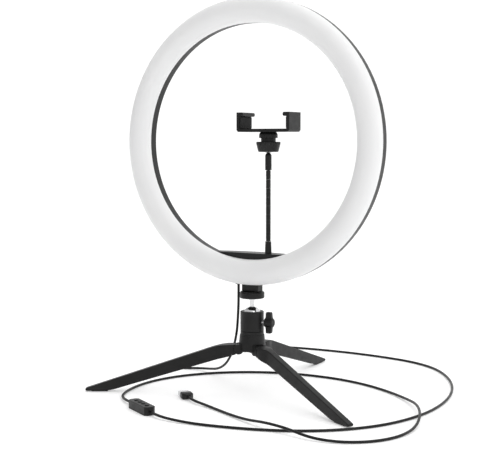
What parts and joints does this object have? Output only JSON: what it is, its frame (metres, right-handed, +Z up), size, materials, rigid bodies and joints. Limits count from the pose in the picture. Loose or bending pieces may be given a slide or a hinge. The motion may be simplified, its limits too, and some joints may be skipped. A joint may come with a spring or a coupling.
{
  "type": "ring light",
  "caption": "Desktop ring light on a folding tripod, with a ball head, a gooseneck phone clamp and a USB lead with an in-line controller.",
  "frame": {"origin": "on the floor, in the middle of the tripod's footprint", "axes": "+Z up, the lamp's white front faces -Y, +X is the viewer's right seen from the front"},
  "size_m": [0.4015, 0.4282, 0.4554],
  "materials": {
    "black": "satin black",
    "leg_black": "fine satin black",
    "rubber": "matt",
    "cord_black": "smooth, slightly shiny",
    "steel": "bright",
    "chrome": "polished",
    "nylon": "natural",
    "white": "frosted",
    "brass": "turned",
    "hose": "black",
    "board": "white solder mask",
    "chip": "phosphor",
    "controller": "satin black"
  },
  "bodies": {
    "stand": {"hub": "black", "leg_pins": "hose", "head_body": "black", "head_bolt": "steel", "cord_lead": "cord_black", "cord_tail": "cord_black", "controller_base": "controller", "controller_cover": "controller", "controller_board": "board", "usb_overmold": "controller", "usb_shell": "steel", "usb_tongue": "controller"},
    "left_leg": {"leg_left": "leg_black", "foot_pad_left": "rubber"},
    "right_leg": {"leg_right": "leg_black", "foot_pad_right": "rubber"},
    "rear_leg": {"leg_rear": "leg_black", "foot_pad_rear": "rubber"},
    "knob": {"wing_knob": "black", "knob_screw": "steel"},
    "seat": {"ball_seat": "nylon"},
    "lamp": {"ball_stud": "chrome", "rear_shell": "black", "rear_housing": "black", "diffuser": "white", "led_board": "board", "led_chips": "chip", "case_screws": "steel", "mount_block": "black", "thread_insert": "brass", "cord_gland": "rubber", "hose_nut": "steel", "cord_top": "cord_black"},
    "disc": {"lock_disc": "black"},
    "neck_foot": {"hose_base": "hose"},
    "neck_1": {"hose_link_1": "hose"},
    "neck_2": {"hose_link_2": "hose"},
    "neck_3": {"hose_link_3": "hose"},
    "neck_4": {"hose_link_4": "hose"},
    "neck_5": {"hose_link_5": "hose"},
    "neck_6": {"hose_link_6": "hose"},
    "neck_7": {"hose_link_7": "hose"},
    "neck_8": {"hose_link_8": "hose"},
    "neck_9": {"hose_top": "hose", "holder_ball": "chrome"},
    "liner": {"ball_liner": "nylon"},
    "clamp": {"holder_socket": "black", "clamp_base": "black", "clamp_springs": "steel", "jaw_pad_fixed": "rubber"},
    "nut": {"lock_nut": "black"},
    "jaw": {"clamp_jaw": "black", "jaw_pad_sliding": "rubber"},
    "power_key": {"button_power": "controller"},
    "mode_key": {"button_mode": "controller"},
    "dimmer_key": {"button_dimmer": "controller"},
    "brighter_key": {"button_brighter": "controller"}
  },
  "joints": [
    {"name": "left_leg_fold", "type": "hinge", "parent": "stand", "child": "left_leg", "pos_m": [-0.01377, -0.05522, 0.0498], "axis": [0.5, -0.866, 0], "range_deg": [0, 74], "deforming": ["cord_tail"]},
    {"name": "right_leg_fold", "type": "hinge", "parent": "stand", "child": "right_leg", "pos_m": [0.01377, -0.05522, 0.0498], "axis": [0.5, 0.866, 0], "range_deg": [0, 74]},
    {"name": "rear_leg_fold", "type": "hinge", "parent": "stand", "child": "rear_leg", "pos_m": [0, -0.03137, 0.0498], "axis": [-1, 0, 0], "range_deg": [0, 74], "deforming": ["cord_tail"]},
    {"name": "knob_turn", "type": "hinge", "parent": "stand", "child": "knob", "pos_m": [0.0176, -0.04727, 0.0819], "axis": [1, 0, 0], "continuous": true},
    {"name": "ball_pan", "type": "hinge", "parent": "stand", "child": "seat", "pos_m": [0, -0.04727, 0.0891], "axis": [0, 0, 1], "continuous": true, "deforming": ["cord_top", "cord_lead"]},
    {"name": "ball_tilt", "type": "hinge", "parent": "seat", "child": "lamp", "pos_m": [0, -0.04727, 0.0891], "axis": [1, 0, 0], "range_deg": [-40, 40], "deforming": ["cord_top", "cord_lead"]},
    {"name": "disc_turn", "type": "hinge", "parent": "lamp", "child": "disc", "pos_m": [0, -0.04727, 0.1134], "axis": [0, 0, 1], "continuous": true},
    {"name": "neck_swivel", "type": "hinge", "parent": "lamp", "child": "neck_foot", "pos_m": [0.0211, -0.04702, 0.1623], "axis": [0, 0, 1], "range_deg": [-40, 40]},
    {"name": "neck_bend_1", "type": "hinge", "parent": "neck_foot", "child": "neck_1", "pos_m": [0.0211, -0.04702, 0.1768], "axis": [1, 0, 0], "range_deg": [-10, 10]},
    {"name": "neck_bend_2", "type": "hinge", "parent": "neck_1", "child": "neck_2", "pos_m": [0.0211, -0.04702, 0.18695], "axis": [1, 0, 0], "range_deg": [-10, 10]},
    {"name": "neck_bend_3", "type": "hinge", "parent": "neck_2", "child": "neck_3", "pos_m": [0.0211, -0.04702, 0.1971], "axis": [1, 0, 0], "range_deg": [-10, 10]},
    {"name": "neck_bend_4", "type": "hinge", "parent": "neck_3", "child": "neck_4", "pos_m": [0.0211, -0.04702, 0.20725], "axis": [1, 0, 0], "range_deg": [-10, 10]},
    {"name": "neck_bend_5", "type": "hinge", "parent": "neck_4", "child": "neck_5", "pos_m": [0.0211, -0.04702, 0.2174], "axis": [1, 0, 0], "range_deg": [-10, 10]},
    {"name": "neck_bend_6", "type": "hinge", "parent": "neck_5", "child": "neck_6", "pos_m": [0.0211, -0.04702, 0.22755], "axis": [1, 0, 0], "range_deg": [-10, 10]},
    {"name": "neck_bend_7", "type": "hinge", "parent": "neck_6", "child": "neck_7", "pos_m": [0.0211, -0.04702, 0.2377], "axis": [1, 0, 0], "range_deg": [-10, 10]},
    {"name": "neck_bend_8", "type": "hinge", "parent": "neck_7", "child": "neck_8", "pos_m": [0.0211, -0.04702, 0.24785], "axis": [1, 0, 0], "range_deg": [-10, 10]},
    {"name": "neck_bend_9", "type": "hinge", "parent": "neck_8", "child": "neck_9", "pos_m": [0.0211, -0.04702, 0.258], "axis": [1, 0, 0], "range_deg": [-10, 10]},
    {"name": "holder_pan", "type": "hinge", "parent": "neck_9", "child": "liner", "pos_m": [0.0211, -0.04702, 0.2831], "axis": [0, 0, 1], "continuous": true},
    {"name": "holder_tilt", "type": "hinge", "parent": "liner", "child": "clamp", "pos_m": [0.0211, -0.04702, 0.2831], "axis": [1, 0, 0], "range_deg": [-24, 24]},
    {"name": "lock_nut_turn", "type": "hinge", "parent": "clamp", "child": "nut", "pos_m": [0.0211, -0.04702, 0.285], "axis": [0, 0, 1], "continuous": true},
    {"name": "jaw_slide", "type": "slide", "parent": "clamp", "child": "jaw", "axis": [1, 0, 0], "range_m": [0, 0.038], "stiffness_N_per_m": 100, "springref_m": -0.02},
    {"name": "power_press", "type": "slide", "parent": "stand", "child": "power_key", "axis": [0, 0, -1], "range_m": [0, 0.0008], "stiffness_N_per_m": 400, "springref_m": -0.0005},
    {"name": "mode_press", "type": "slide", "parent": "stand", "child": "mode_key", "axis": [0, 0, -1], "range_m": [0, 0.0008], "stiffness_N_per_m": 400, "springref_m": -0.0005},
    {"name": "dimmer_press", "type": "slide", "parent": "stand", "child": "dimmer_key", "axis": [0, 0, -1], "range_m": [0, 0.0008], "stiffness_N_per_m": 400, "springref_m": -0.0005},
    {"name": "brighter_press", "type": "slide", "parent": "stand", "child": "brighter_key", "axis": [0, 0, -1], "range_m": [0, 0.0008], "stiffness_N_per_m": 400, "springref_m": -0.0005}
  ],
  "couplings": [
    {"joint": "neck_bend_2", "follows": "neck_bend_1", "ratio": 1},
    {"joint": "neck_bend_3", "follows": "neck_bend_1", "ratio": 1},
    {"joint": "neck_bend_4", "follows": "neck_bend_1", "ratio": 1},
    {"joint": "neck_bend_5", "follows": "neck_bend_1", "ratio": 1},
    {"joint": "neck_bend_6", "follows": "neck_bend_1", "ratio": 1},
    {"joint": "neck_bend_7", "follows": "neck_bend_1", "ratio": 1},
    {"joint": "neck_bend_8", "follows": "neck_bend_1", "ratio": 1},
    {"joint": "neck_bend_9", "follows": "neck_bend_1", "ratio": 1}
  ]
}
